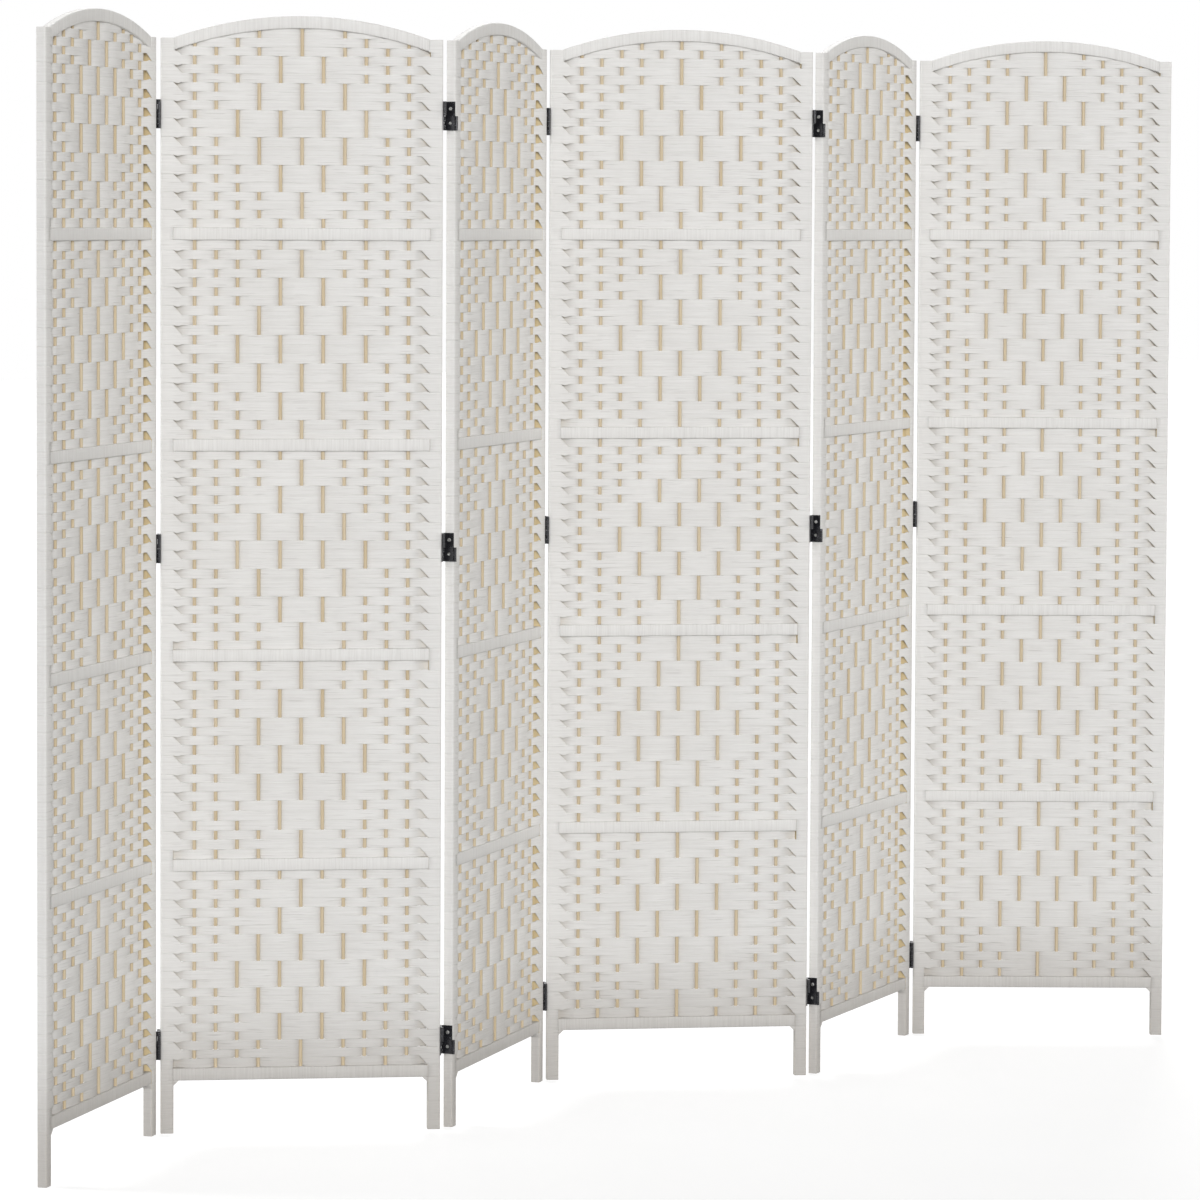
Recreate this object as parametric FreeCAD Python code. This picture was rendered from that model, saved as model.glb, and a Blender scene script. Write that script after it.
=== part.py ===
import FreeCAD, Part
import math
import os

# Folding privacy screen: woven panels in arched wooden frames, joined edge to edge by two-way hinges.
# Lengths are in millimetres and angles in degrees. +Z is up, X runs along the standing zigzag, the front
# looks to -Y, and the origin lies on the floor in the middle of the part.

# Panel frame. Outer sizes of stiles are over their paper wrap.
panel_count = 6
section_count = 5
panel_width = 450.0
stile_top_height = 1754.0
stile_width = 20.0
stile_depth = 16.0
leg_height = 85.0
rail_height = 20.0
rail_depth = 14.0
arch_height = 20.0
arch_rise = 36.0
tenon_diameter = 9.0
tenon_length = 10.0
tenon_root = 3.0

# Woven filling
rod_count = 11
rod_diameter = 5.5
rod_socket_depth = 12.0
band_thickness = 1.25
wrap_thickness = 1.0
foot_reveal = 1.0

# Two-way hinges, three at each joint
bottom_hinge_height = 143.0
middle_hinge_height = 941.0
top_hinge_drop = 121.0
hinge_height = 46.0
leaf_thickness = 1.2
link_thickness = 1.2
pin_diameter = 2.4
screw_diameter = 2.8
screw_length = 13.0
screw_point_length = 3.0
screw_head_diameter = 6.0
screw_head_height = 0.9
screw_dome_inset = 0.8
screw_cross_length = 3.6
screw_cross_width = 0.7
screw_cross_depth = 0.5

# Clearances
leaf_link_clearance = 0.6
barrel_face_clearance = 0.4
knuckle_gap = 0.3
half_gap = 0.4
pin_clearance = 0.05
wood_clearance = 0.1
socket_end_clearance = 0.5
screw_clearance = 0.05
screw_head_clearance = 0.5
overrun = 5.0

# Standing pose: the turn of the first panel from X, and how far each joint is folded from flat
first_panel_turn = 36.0
rest_folds = (67.0, 65.0, 64.0, 58.0, 65.5)

# Values that follow from the sizes above
inner_left = stile_width
inner_right = panel_width - stile_width
inner_width = inner_right - inner_left
panel_middle = panel_width / 2
crown_underside = stile_top_height + arch_rise - arch_height
rail_pitch = (crown_underside - leg_height) / section_count
rod_pitch = inner_width / (rod_count + 1)
rod_places = [inner_left + rod_pitch * number for number in range(1, rod_count + 1)]
mat_thickness = rod_diameter + 2 * band_thickness
rail_bottoms = [leg_height + rail_pitch * number for number in range(section_count)]
tenon_heights = [bottom + rail_height / 2 for bottom in rail_bottoms]
arch_tenon_height = stile_top_height - arch_height / 2
hinge_centres = (bottom_hinge_height, middle_hinge_height, stile_top_height - top_hinge_drop)
hinge_gap = 2 * leaf_thickness + link_thickness + 2 * leaf_link_clearance
knuckle_radius = hinge_gap / 2
axis_depth = stile_depth / 2 + knuckle_radius + barrel_face_clearance
half_height = hinge_height / 2
knuckle_length = (half_height - half_gap / 2 - 2 * knuckle_gap) / 3
screw_offset = half_height / 2

UP = FreeCAD.Vector(0, 0, 1)
ALONG = FreeCAD.Vector(1, 0, 0)
ORIGIN = FreeCAD.Vector(0, 0, 0)


def block(low, high):
    """A box between its lowest and highest corners."""
    low = FreeCAD.Vector(*low)
    size = FreeCAD.Vector(*high) - low
    return Part.makeBox(size.x, size.y, size.z, low)


def bar(start, end, diameter):
    """A round bar between the middles of its two ends."""
    start = FreeCAD.Vector(*start)
    run = FreeCAD.Vector(*end) - start
    return Part.makeCylinder(diameter / 2, run.Length, start, run)


def moved(shape, x, y, z):
    """A copy of a shape, shifted."""
    copy = shape.copy()
    copy.translate(FreeCAD.Vector(x, y, z))
    return copy


def turned(shape, axis, degrees):
    """A copy of a shape, turned about an axis through the origin."""
    copy = shape.copy()
    copy.rotate(ORIGIN, axis, degrees)
    return copy


def mirrored(shape):
    """The same piece for the other side of the panel."""
    return shape.mirror(FreeCAD.Vector(panel_middle, 0, 0), ALONG)


def arch_edge(x, crown):
    """Height at x of the arc that starts and ends arch_rise below its crown, at the stiles."""
    half_span = inner_width / 2
    radius = (half_span**2 + arch_rise**2) / (2 * arch_rise)
    return crown - radius + math.sqrt(radius**2 - (x - panel_middle) ** 2)


def arc_between(start_x, end_x, crown):
    """The arch's arc from one stile to the other, as an edge in the panel's middle plane."""
    ends = [FreeCAD.Vector(x, 0, crown - arch_rise) for x in (start_x, end_x)]
    middle = FreeCAD.Vector(panel_middle, 0, crown)
    return Part.Arc(ends[0], middle, ends[1]).toShape()


def slab(edges, depth):
    """A closed outline in the panel's middle plane, thickened evenly to both faces."""
    face = Part.Face(Part.Wire(edges))
    solid = face.extrude(FreeCAD.Vector(0, depth, 0))
    return moved(solid, 0, -depth / 2, 0)


def straight(start, end):
    """A straight edge between two points of the panel's middle plane, given as (x, z)."""
    start_point = FreeCAD.Vector(start[0], 0, start[1])
    end_point = FreeCAD.Vector(end[0], 0, end[1])
    return Part.makeLine(start_point, end_point)


def rod_holes(bottom, tops):
    """Clearance holes for the rods, from one height up to a height for each rod."""
    diameter = rod_diameter + 2 * wood_clearance
    return [bar((x, 0, bottom), (x, 0, top), diameter) for x, top in zip(rod_places, tops)]


def screw_holes(edge, inward):
    """Holes for the hinge screws, from a stile's outer face into the wood."""
    depth = screw_length - leaf_thickness + socket_end_clearance
    diameter = screw_diameter + 2 * screw_clearance
    holes = []
    for centre in hinge_centres:
        for height in (centre - screw_offset, centre + screw_offset):
            start = (edge - inward * overrun, 0, height)
            end = (edge + inward * depth, 0, height)
            holes.append(bar(start, end, diameter))
    return holes


def stile_core(hinged):
    """The left stile: a bare wooden bar with sockets for the rails' tenons and pilot holes for hinges."""
    half_depth = stile_depth / 2 - wrap_thickness
    core = block((wrap_thickness, -half_depth, 0), (stile_width, half_depth, stile_top_height))
    socket_bottom = inner_left - tenon_length - socket_end_clearance
    diameter = tenon_diameter + 2 * wood_clearance
    cuts = []
    for height in tenon_heights + [arch_tenon_height]:
        cuts.append(bar((socket_bottom, 0, height), (inner_left + overrun, 0, height), diameter))
    if hinged:
        cuts += screw_holes(0, 1)
    return core.cut(cuts)


def stile_wraps(hinged):
    """Paper wraps of the left stile: a sleeve open to the weave, and a closed one round the leg."""
    half_depth = stile_depth / 2
    core_half_depth = half_depth - wrap_thickness
    sleeve = block((0, -half_depth, leg_height), (stile_width, half_depth, stile_top_height))
    leg = block((0, -half_depth, foot_reveal), (stile_width + wrap_thickness, half_depth, leg_height))
    core = block(
        (wrap_thickness, -core_half_depth, -overrun),
        (stile_width, core_half_depth, stile_top_height + overrun),
    )
    cuts = [core] + (screw_holes(0, 1) if hinged else [])
    return [sleeve.cut(cuts), leg.cut(core)]


def rails():
    """The bottom rail and the cross rails, with a round tenon at each end and holes for the rods."""
    half_depth = rail_depth / 2
    pieces = []
    for number, bottom in enumerate(rail_bottoms):
        top = bottom + rail_height
        middle = tenon_heights[number]
        body = block((inner_left, -half_depth, bottom), (inner_right, half_depth, top))
        tenon = bar(
            (inner_left - tenon_length, 0, middle), (inner_right + tenon_length, 0, middle), tenon_diameter
        )
        if number == 0:
            hole_bottom = top - rod_socket_depth - socket_end_clearance
        else:
            hole_bottom = bottom - overrun
        holes = rod_holes(hole_bottom, [top + overrun] * rod_count)
        pieces.append(body.fuse(tenon).cut(holes).removeSplitter())
    return pieces


def top_arch():
    """The bowed top rail, with a tenon at each end and a socket for each rod."""
    crown = stile_top_height + arch_rise
    low_end = stile_top_height - arch_height
    outline = [
        arc_between(inner_left, inner_right, crown_underside),
        straight((inner_right, low_end), (inner_right, stile_top_height)),
        arc_between(inner_right, inner_left, crown),
        straight((inner_left, stile_top_height), (inner_left, low_end)),
    ]
    body = slab(outline, rail_depth)
    left_tenon = bar(
        (inner_left - tenon_length, 0, arch_tenon_height),
        (inner_left + tenon_root, 0, arch_tenon_height),
        tenon_diameter,
    )
    tops = [top + socket_end_clearance for top in rod_tops()]
    holes = rod_holes(low_end - overrun, tops)
    return body.fuse([left_tenon, mirrored(left_tenon)]).cut(holes).removeSplitter()


def rod_tops():
    """Where each rod ends, inside the arch."""
    return [arch_edge(x, crown_underside) + rod_socket_depth for x in rod_places]


def rods():
    """Upright rods from the bottom rail, through the cross rails, up into the arch."""
    foot = leg_height + rail_height - rod_socket_depth
    return [bar((x, 0, foot), (x, 0, top), rod_diameter) for x, top in zip(rod_places, rod_tops())]


def weave_mats():
    """The woven filling between the rails, one mat for each section, with the rods' passages."""
    mats = []
    for number, rail_bottom in enumerate(rail_bottoms):
        low = rail_bottom + rail_height
        if number < section_count - 1:
            high = rail_bottom + rail_pitch
            top_edge = straight((inner_right, high), (inner_left, high))
        else:
            high = stile_top_height - arch_height
            top_edge = arc_between(inner_right, inner_left, crown_underside)
        outline = [
            straight((inner_left, low), (inner_right, low)),
            straight((inner_right, low), (inner_right, high)),
            top_edge,
            straight((inner_left, high), (inner_left, low)),
        ]
        holes = rod_holes(low - overrun, [crown_underside + overrun] * rod_count)
        mats.append(slab(outline, mat_thickness).cut(holes))
    return mats


def weave(left_hinged, right_hinged):
    """Everything that is woven or wound from paper strand in one panel."""
    right_wraps = [mirrored(wrap) for wrap in stile_wraps(right_hinged)]
    return weave_mats() + stile_wraps(left_hinged) + right_wraps


def barrel(y, low, high):
    """A plain round knuckle on a hinge axis, between two heights."""
    return bar((0, y, low), (0, y, high), 2 * knuckle_radius)


def pin_hole(y, low, high):
    """The bore of a hinge's knuckles, between two heights."""
    return bar((0, y, low - overrun), (0, y, high + overrun), pin_diameter + 2 * pin_clearance)


def knuckle_spans():
    """The three knuckles of a hinge's upper half, as (low, high) from its middle."""
    spans = []
    for number in range(3):
        low = half_gap / 2 + number * (knuckle_length + knuckle_gap)
        spans.append((low, low + knuckle_length))
    return spans


def half_leaf():
    """The upper half of a leaf: a plate on the stile's edge and two knuckles on the front axis."""
    outer = -knuckle_radius
    inner = outer + leaf_thickness
    face = stile_depth / 2
    plate = block((outer, -face, 0), (inner, face, half_height))
    pieces = []
    for low, high in knuckle_spans()[::2]:
        pieces.append(block((outer, -axis_depth, low), (inner, -face, high)))
        pieces.append(barrel(-axis_depth, low, high))
    hole_diameter = screw_diameter + 2 * screw_clearance
    screw_hole = bar((outer - overrun, 0, screw_offset), (inner + overrun, 0, screw_offset), hole_diameter)
    return plate.fuse(pieces).cut([pin_hole(-axis_depth, 0, half_height), screw_hole])


def hinge_leaf():
    """A leaf for a panel's right edge. Turned half round about its own middle, it fits the left edge."""
    upper = half_leaf()
    lower = turned(upper, ALONG, 180)
    return upper.fuse(lower).removeSplitter()


def hinge_link():
    """The upper link: a plate across the gap, with one knuckle on the front and one on the back axis."""
    side = link_thickness / 2
    face = stile_depth / 2
    bottom = half_gap / 2
    low, high = knuckle_spans()[1]
    plate = block((-side, -face, bottom), (side, face, half_height))
    pieces = [block((-side, -axis_depth, low), (side, axis_depth, high))]
    pieces += [barrel(y, low, high) for y in (-axis_depth, axis_depth)]
    cuts = [pin_hole(y, low, high) for y in (-axis_depth, axis_depth)]
    window = screw_head_diameter + 2 * screw_head_clearance
    cuts.append(bar((-side - overrun, 0, screw_offset), (side + overrun, 0, screw_offset), window))
    return plate.fuse(pieces).cut(cuts).removeSplitter()


def hinge_pins():
    """The pins that a right-edge leaf carries: upper half in front, lower half at the back."""
    start = half_gap / 2
    front = bar((0, -axis_depth, start), (0, -axis_depth, half_height), pin_diameter)
    back = bar((0, axis_depth, -half_height), (0, axis_depth, -start), pin_diameter)
    return [front, back]


def hinge_screws():
    """The two wood screws of a right-edge leaf, with domed heads and cross recesses."""
    seat = -knuckle_radius + leaf_thickness
    shank_end = seat - screw_length + screw_point_length
    head_radius = screw_head_diameter / 2
    inward = FreeCAD.Vector(-1, 0, 0)
    shank = bar((seat, 0, 0), (shank_end, 0, 0), screw_diameter)
    point = Part.makeCone(screw_diameter / 2, 0, screw_point_length, FreeCAD.Vector(shank_end, 0, 0), inward)
    head = Part.makeCone(
        head_radius, head_radius - screw_dome_inset, screw_head_height, FreeCAD.Vector(seat, 0, 0), ALONG
    )
    recess_floor = seat + screw_head_height - screw_cross_depth
    long_half = screw_cross_length / 2
    short_half = screw_cross_width / 2
    recess = [
        block((recess_floor, -long_half, -short_half), (seat + overrun, long_half, short_half)),
        block((recess_floor, -short_half, -long_half), (seat + overrun, short_half, long_half)),
    ]
    screw = head.cut(recess).fuse([shank, point]).removeSplitter()
    return [moved(screw, 0, 0, height) for height in (-screw_offset, screw_offset)]


def is_valley(joint):
    """Whether a joint folds about its front axis. Joints count from 0 and take turns."""
    return joint % 2 == 0


def hinge_pieces(panel):
    """Leaves, links, pins and screws that move with a panel, in the panel's own frame.

    Folding about the front axis, a hinge's upper link stays with the panel on the right and its lower link
    with the panel on the left. Folding about the back axis, they change places.
    """
    leaf = hinge_leaf()
    upper_link = hinge_link()
    lower_link = turned(upper_link, ALONG, 180)
    sets = {
        "hinge_leaves": [leaf],
        "hinge_links": [],
        "hinge_pins": hinge_pins(),
        "hinge_screws": hinge_screws(),
    }
    edges = []
    if panel < panel_count - 1:
        link = lower_link if is_valley(panel) else upper_link
        edges.append((panel_width + hinge_gap / 2, 0, link))
    if panel > 0:
        link = upper_link if is_valley(panel - 1) else lower_link
        edges.append((-hinge_gap / 2, 180, link))
    placed = {name: [] for name in sets}
    for x, half_turn, link in edges:
        for height in hinge_centres:
            for name, pieces in sets.items():
                placed[name] += [moved(turned(piece, UP, half_turn), x, 0, height) for piece in pieces]
            placed["hinge_links"].append(moved(link, x, 0, height))
    return placed


def panel_pieces(panel):
    """Every node of one panel, as lists of solids in the panel's own frame."""
    left_hinged = panel > 0
    right_hinged = panel < panel_count - 1
    nodes = {
        "left_stile": [stile_core(left_hinged)],
        "right_stile": [mirrored(stile_core(right_hinged))],
        "rails": rails(),
        "top_arch": [top_arch()],
        "rods": rods(),
        "weave": weave(left_hinged, right_hinged),
    }
    nodes.update(hinge_pieces(panel))
    return nodes


def standing_places():
    """The turn and the place of each panel, and the axis of each joint, before centring."""
    turns = [first_panel_turn]
    places = [ORIGIN]
    axes = []
    for joint, fold in enumerate(rest_folds):
        valley = is_valley(joint)
        side = -axis_depth if valley else axis_depth
        to_axis = FreeCAD.Vector(panel_width + hinge_gap / 2, side, 0)
        from_axis = FreeCAD.Vector(-hinge_gap / 2, side, 0)
        axes.append(places[joint] + FreeCAD.Rotation(UP, turns[joint]).multVec(to_axis))
        turns.append(turns[joint] - fold if valley else turns[joint] + fold)
        places.append(axes[joint] - FreeCAD.Rotation(UP, turns[joint + 1]).multVec(from_axis))
    return turns, places, axes


def main():
    """Builds every panel, stands the screen up as a zigzag and writes one file for each node."""
    os.makedirs("parts", exist_ok=True)
    turns, places, axes = standing_places()
    nodes = {}
    for panel in range(panel_count):
        stand = FreeCAD.Placement(places[panel], FreeCAD.Rotation(UP, turns[panel]))
        for name, pieces in panel_pieces(panel).items():
            shape = Part.Compound(pieces)
            nodes[f"panel_{panel + 1}_{name}"] = shape.transformed(stand.toMatrix(), True)
    whole = Part.Compound(list(nodes.values())).BoundBox
    middle = FreeCAD.Vector(whole.Center.x, whole.Center.y, 0)
    for name, shape in nodes.items():
        moved(shape, -middle.x, -middle.y, 0).exportStep(f"parts/{name}.step")
    print("size", round(whole.XLength, 3), round(whole.YLength, 3), round(whole.ZLength, 3))
    for joint, axis in enumerate(axes):
        print("joint", joint + 1, "axis at", round(axis.x - middle.x, 4), round(axis.y - middle.y, 4))


main()
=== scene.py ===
"""Looks of a folding privacy screen: six arched panels, woven from paper strand over upright rods.

Lengths are in metres. A panel is dressed in its own frame, x across from its left edge, y to its back and
z up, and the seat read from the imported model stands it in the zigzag.
"""

import logging
import math
from collections.abc import Callable, Mapping, Sequence
from dataclasses import dataclass, field
from enum import Enum, IntEnum
from functools import cached_property
from typing import Any, NamedTuple

import bpy
import numpy as np
from mathutils import Matrix, Vector


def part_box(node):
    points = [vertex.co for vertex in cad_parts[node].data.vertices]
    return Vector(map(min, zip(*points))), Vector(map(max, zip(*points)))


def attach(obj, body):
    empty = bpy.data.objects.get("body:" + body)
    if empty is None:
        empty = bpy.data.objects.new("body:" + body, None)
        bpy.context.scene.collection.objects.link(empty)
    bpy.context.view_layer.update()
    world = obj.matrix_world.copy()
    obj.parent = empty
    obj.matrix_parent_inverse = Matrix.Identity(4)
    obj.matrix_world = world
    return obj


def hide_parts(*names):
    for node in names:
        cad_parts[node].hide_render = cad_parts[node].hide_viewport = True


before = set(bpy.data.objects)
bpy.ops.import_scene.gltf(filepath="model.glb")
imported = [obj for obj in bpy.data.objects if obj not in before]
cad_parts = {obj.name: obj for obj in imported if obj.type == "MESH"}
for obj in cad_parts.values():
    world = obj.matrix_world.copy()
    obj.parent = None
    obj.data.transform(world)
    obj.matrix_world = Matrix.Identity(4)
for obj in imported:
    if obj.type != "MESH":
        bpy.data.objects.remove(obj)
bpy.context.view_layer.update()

Colour = tuple[float, float, float, float]
Material = bpy.types.Material
Socket = bpy.types.NodeSocket
Hue = Socket | Colour

LOG = logging.getLogger("folding_screen")
MM = 0.001
WHITE: Colour = (1.0, 1.0, 1.0, 1.0)
WARM_LIGHT = (1.0, 0.985, 0.955)
SEEDS_PER_PANEL = 10
POINT_DIGITS = 5
EASED = {"interpolation_type": "SMOOTHSTEP", "clamp": True}


class Edge(Enum):
    """The two upright edges of a panel."""

    LEFT = "left"
    RIGHT = "right"


class Lay(Enum):
    """Which way the marks of a surface run."""

    LEVEL = "level"
    ROUND_A_BAR = "round a bar"
    UPRIGHT = "upright"


class FirstSeed(IntEnum):
    """Where the seeds of each kind of piece start."""

    SECTION = 0
    STILE = 100
    RAIL = 200
    ARCH = 300


def shade(red: int, green: int, blue: int) -> Colour:
    """A colour as a shader takes it.

    Args:
        red: Red as on a screen, 0 to 255.
        green: Green as on a screen.
        blue: Blue as on a screen.

    Returns:
        The same colour in linear light, opaque.
    """
    linear = []
    for level in (red / 255, green / 255, blue / 255):
        linear.append(level / 12.92 if level <= 0.04045 else ((level + 0.055) / 1.055) ** 2.4)
    return (linear[0], linear[1], linear[2], 1.0)


def show(name: str, data: bpy.types.ID) -> bpy.types.Object:
    """Puts a new object in the scene.

    Args:
        name: Its name.
        data: Its mesh, lamp or lens.

    Returns:
        The object.
    """
    shown = bpy.data.objects.new(name, data)
    bpy.context.scene.collection.objects.link(shown)
    return shown


@dataclass(frozen=True)
class Value:
    """A number that varies over a surface: a node's output, with arithmetic that adds Math nodes."""

    bench: "Bench"
    socket: Socket

    def __add__(self, other: "Value | float") -> "Value":
        """This number plus another."""
        return self.bench.maths("ADD", self, other)

    def __radd__(self, other: float) -> "Value":
        """A plain number plus this one."""
        return self.bench.maths("ADD", other, self)

    def __sub__(self, other: "Value | float") -> "Value":
        """This number less another."""
        return self.bench.maths("SUBTRACT", self, other)

    def __rsub__(self, other: float) -> "Value":
        """A plain number less this one."""
        return self.bench.maths("SUBTRACT", other, self)

    def __mul__(self, other: "Value | float") -> "Value":
        """This number times another."""
        return self.bench.maths("MULTIPLY", self, other)

    def __rmul__(self, other: float) -> "Value":
        """A plain number times this one."""
        return self.bench.maths("MULTIPLY", other, self)

    def rise(self, start: float, end: float) -> "Value":
        """How far this number has come from one limit to another, 0 to 1, easing in and out."""
        inputs = {"Value": self, "From Min": start, "From Max": end}
        return Value(self.bench, self.bench.make("ShaderNodeMapRange", inputs, **EASED).outputs[0])


@dataclass(frozen=True)
class Bench:
    """The node tree of one material, or of the world."""

    tree: bpy.types.NodeTree

    def __post_init__(self) -> None:
        """Clears the tree for a new set of nodes."""
        self.tree.nodes.clear()

    def make(self, kind: str, inputs: Mapping[Any, Any] | None = None, **settings: Any) -> bpy.types.Node:
        """Adds a node.

        Args:
            kind: The node's type.
            inputs: A value or a link for each socket, by name or by number.
            settings: Its settings, set before its sockets.

        Returns:
            The new node.
        """
        node = self.tree.nodes.new(kind)
        for name, setting in settings.items():
            setattr(node, name, setting)
        for key, given in (inputs or {}).items():
            source = given.socket if isinstance(given, Value) else given
            if isinstance(source, Socket):
                self.tree.links.new(source, node.inputs[key])
            else:
                node.inputs[key].default_value = source
        return node

    def maths(self, operation: str, first: Value | Socket | float, second: Value | Socket | float) -> Value:
        """The result of a Math node on two numbers."""
        node = self.make("ShaderNodeMath", {0: first, 1: second}, operation=operation)
        return Value(self, node.outputs[0])

    @cached_property
    def place(self) -> Socket:
        """A point's place in its piece's own frame."""
        return self.make("ShaderNodeTexCoord").outputs["Object"]

    def tint(self, share: Value, first: Hue, second: Hue, blend: str = "MIX") -> Socket:
        """A blend of two colours with a share of the second, 0 to 1."""
        settings = {"data_type": "RGBA", "blend_type": blend, "clamp_factor": True}
        return self.make("ShaderNodeMix", {0: share, 6: first, 7: second}, **settings).outputs[2]

    def bump(self, height: Value, depth: float) -> Socket:
        """The normal of fine relief, from its height, 0 to 1, and its depth."""
        inputs = {"Strength": 1.0, "Distance": depth, "Height": height}
        return self.make("ShaderNodeBump", inputs).outputs[0]

    def surface(self, shader: Socket) -> None:
        """Ends the tree in a finished shader."""
        self.make("ShaderNodeOutputMaterial", {"Surface": shader})

    def coat(self, inputs: Mapping[str, Any]) -> None:
        """Ends the tree in a coat with these inputs."""
        self.surface(self.make("ShaderNodeBsdfPrincipled", inputs).outputs[0])

    def seen_directly(self) -> Value:
        """Tells the camera's rays, and what mirrors or passes them on, from the rays that light a scene.

        Returns:
            1 for those rays and 0 for others.
        """
        path = self.make("ShaderNodeLightPath").outputs
        mirrored = self.maths("MAXIMUM", path["Is Camera Ray"], path["Is Glossy Ray"])
        return self.maths("MAXIMUM", mirrored, path["Is Transmission Ray"])


@dataclass(frozen=True)
class Marks:
    """A layer of random marks: their counts in a metre, how fine they are, and the limits of their tone."""

    across: float
    along: float
    detail: float = 2.0
    roughness: float = 0.5
    start: float = 0.3
    end: float = 0.7

    def laid(self, bench: Bench, lay: Lay = Lay.LEVEL) -> Value:
        """Lays the marks on a surface.

        Args:
            bench: The node tree to work on.
            lay: Which way the marks run.

        Returns:
            A number from 0 to 1, mostly near the middle.
        """
        counts = {
            Lay.LEVEL: (self.along, self.along, self.across),
            Lay.ROUND_A_BAR: (self.across, self.along, self.along),
            Lay.UPRIGHT: (self.across, self.across, self.along),
        }
        factors = {0: bench.place, 1: counts[lay]}
        place = bench.make("ShaderNodeVectorMath", factors, operation="MULTIPLY").outputs[0]
        inputs = {"Vector": place, "Scale": 1.0, "Detail": self.detail, "Roughness": self.roughness}
        return Value(bench, bench.make("ShaderNodeTexNoise", inputs, noise_dimensions="3D").outputs[0])

    def tone(self, laid: Value) -> Value:
        """How dark the marks are, 0 to 1."""
        return laid.rise(self.start, self.end)


@dataclass(frozen=True)
class Finish:
    """A finish of the screen or of the studio."""

    name: str

    def dress(self, bench: Bench) -> None:
        """Adds the nodes of the finish to its material's node tree."""
        raise NotImplementedError

    def build(self) -> Material:
        """Makes the material.

        Returns:
            The finished material.
        """
        material = bpy.data.materials.new(self.name)
        material.use_nodes = True
        self.dress(Bench(material.node_tree))
        return material


@dataclass(frozen=True)
class PaperFinish(Finish):
    """White paper strand: matt, with fibres, painted shadow hairlines along the strands, and painted shade
    that darkens it towards the floor.
    """

    lay: Lay
    white: Colour = shade(227, 226, 224)
    grey: Colour = shade(209, 207, 204)
    # Colour of the painted shadow hairlines: thin dark lines along the strands in place of the shade
    # between them.
    hairline_shadow: Colour = shade(152, 147, 141)
    # Painted shade: the colour that the paper is multiplied by at the floor, fading out higher up, in place
    # of the shade near the floor.
    floor_shade: Colour = shade(215, 212, 209)
    fibre: Marks = Marks(900.0, 40.0, 3.0, 0.6, 0.35, 0.75)
    strand: Marks = Marks(330.0, 7.0, end=0.75)
    patch: Marks = Marks(9.0, 9.0)
    hairline: Marks = Marks(900.0, 16.0, 1.0, start=0.27, end=0.34)
    fibre_tone: float = 0.25
    strand_tone: float = 0.4
    patch_tone: float = 0.2
    # How strongly the painted shadow hairlines darken the paper.
    hairline_shadow_share: float = 0.45
    # Height over which the painted shade towards the floor fades out.
    floor_shade_height: float = 0.28
    smoothest: float = 0.55
    rough_spread: float = 0.25
    sheen: float = 0.35
    fibre_relief: float = 0.6
    strand_relief: float = 0.4
    relief_depth: float = 0.12 * MM

    def dress(self, bench: Bench) -> None:
        """Adds the nodes of the paper.

        Args:
            bench: Its node tree.
        """
        fibre = self.fibre.laid(bench, self.lay)
        strand = self.strand.laid(bench, self.lay)
        patch = self.patch.laid(bench)
        hairline = self.hairline.laid(bench, self.lay)
        height = Value(bench, bench.make("ShaderNodeSeparateXYZ", {0: bench.place}).outputs[2])
        tone = self.strand.tone(strand) * self.strand_tone + self.fibre.tone(fibre) * self.fibre_tone
        tone = tone + self.patch.tone(patch) * self.patch_tone
        # Painted shadow hairlines: thin dark lines along the strands, in place of the shade between them.
        hairline_shadows = (1.0 - self.hairline.tone(hairline)) * self.hairline_shadow_share
        paper = bench.tint(hairline_shadows, bench.tint(tone, self.white, self.grey), self.hairline_shadow)
        # Painted shade towards the floor: 1 at the floor, easing to 0 at the top of its band.
        floor_shade_share = 1.0 - height.rise(0.0, self.floor_shade_height)
        relief = fibre * self.fibre_relief + strand * self.strand_relief
        bench.coat({
            "Base Color": bench.tint(floor_shade_share, paper, self.floor_shade, "MULTIPLY"),
            "Roughness": self.smoothest + fibre * self.rough_spread,
            "Specular IOR Level": self.sheen,
            "Normal": bench.bump(relief, self.relief_depth),
        })


@dataclass(frozen=True)
class WoodFinish(Finish):
    """Bare wood with upright grain."""

    light: Colour
    dark: Colour
    grain: Marks = Marks(700.0, 14.0, 4.0, 0.65, 0.35, 0.75)
    figure: Marks = Marks(140.0, 14.0 / 3)
    grain_tone: float = 0.5
    figure_tone: float = 0.5
    smoothest: float = 0.5
    rough_spread: float = 0.3
    sheen: float = 0.35
    grain_depth: float = 0.1 * MM

    def dress(self, bench: Bench) -> None:
        """Adds the nodes of the wood.

        Args:
            bench: Its node tree.
        """
        grain = self.grain.laid(bench, Lay.UPRIGHT)
        figure = self.figure.laid(bench, Lay.UPRIGHT)
        tone = self.grain.tone(grain) * self.grain_tone + self.figure.tone(figure) * self.figure_tone
        bench.coat({
            "Base Color": bench.tint(tone, self.light, self.dark),
            "Roughness": self.smoothest + grain * self.rough_spread,
            "Specular IOR Level": self.sheen,
            "Normal": bench.bump(grain, self.grain_depth),
        })


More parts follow.
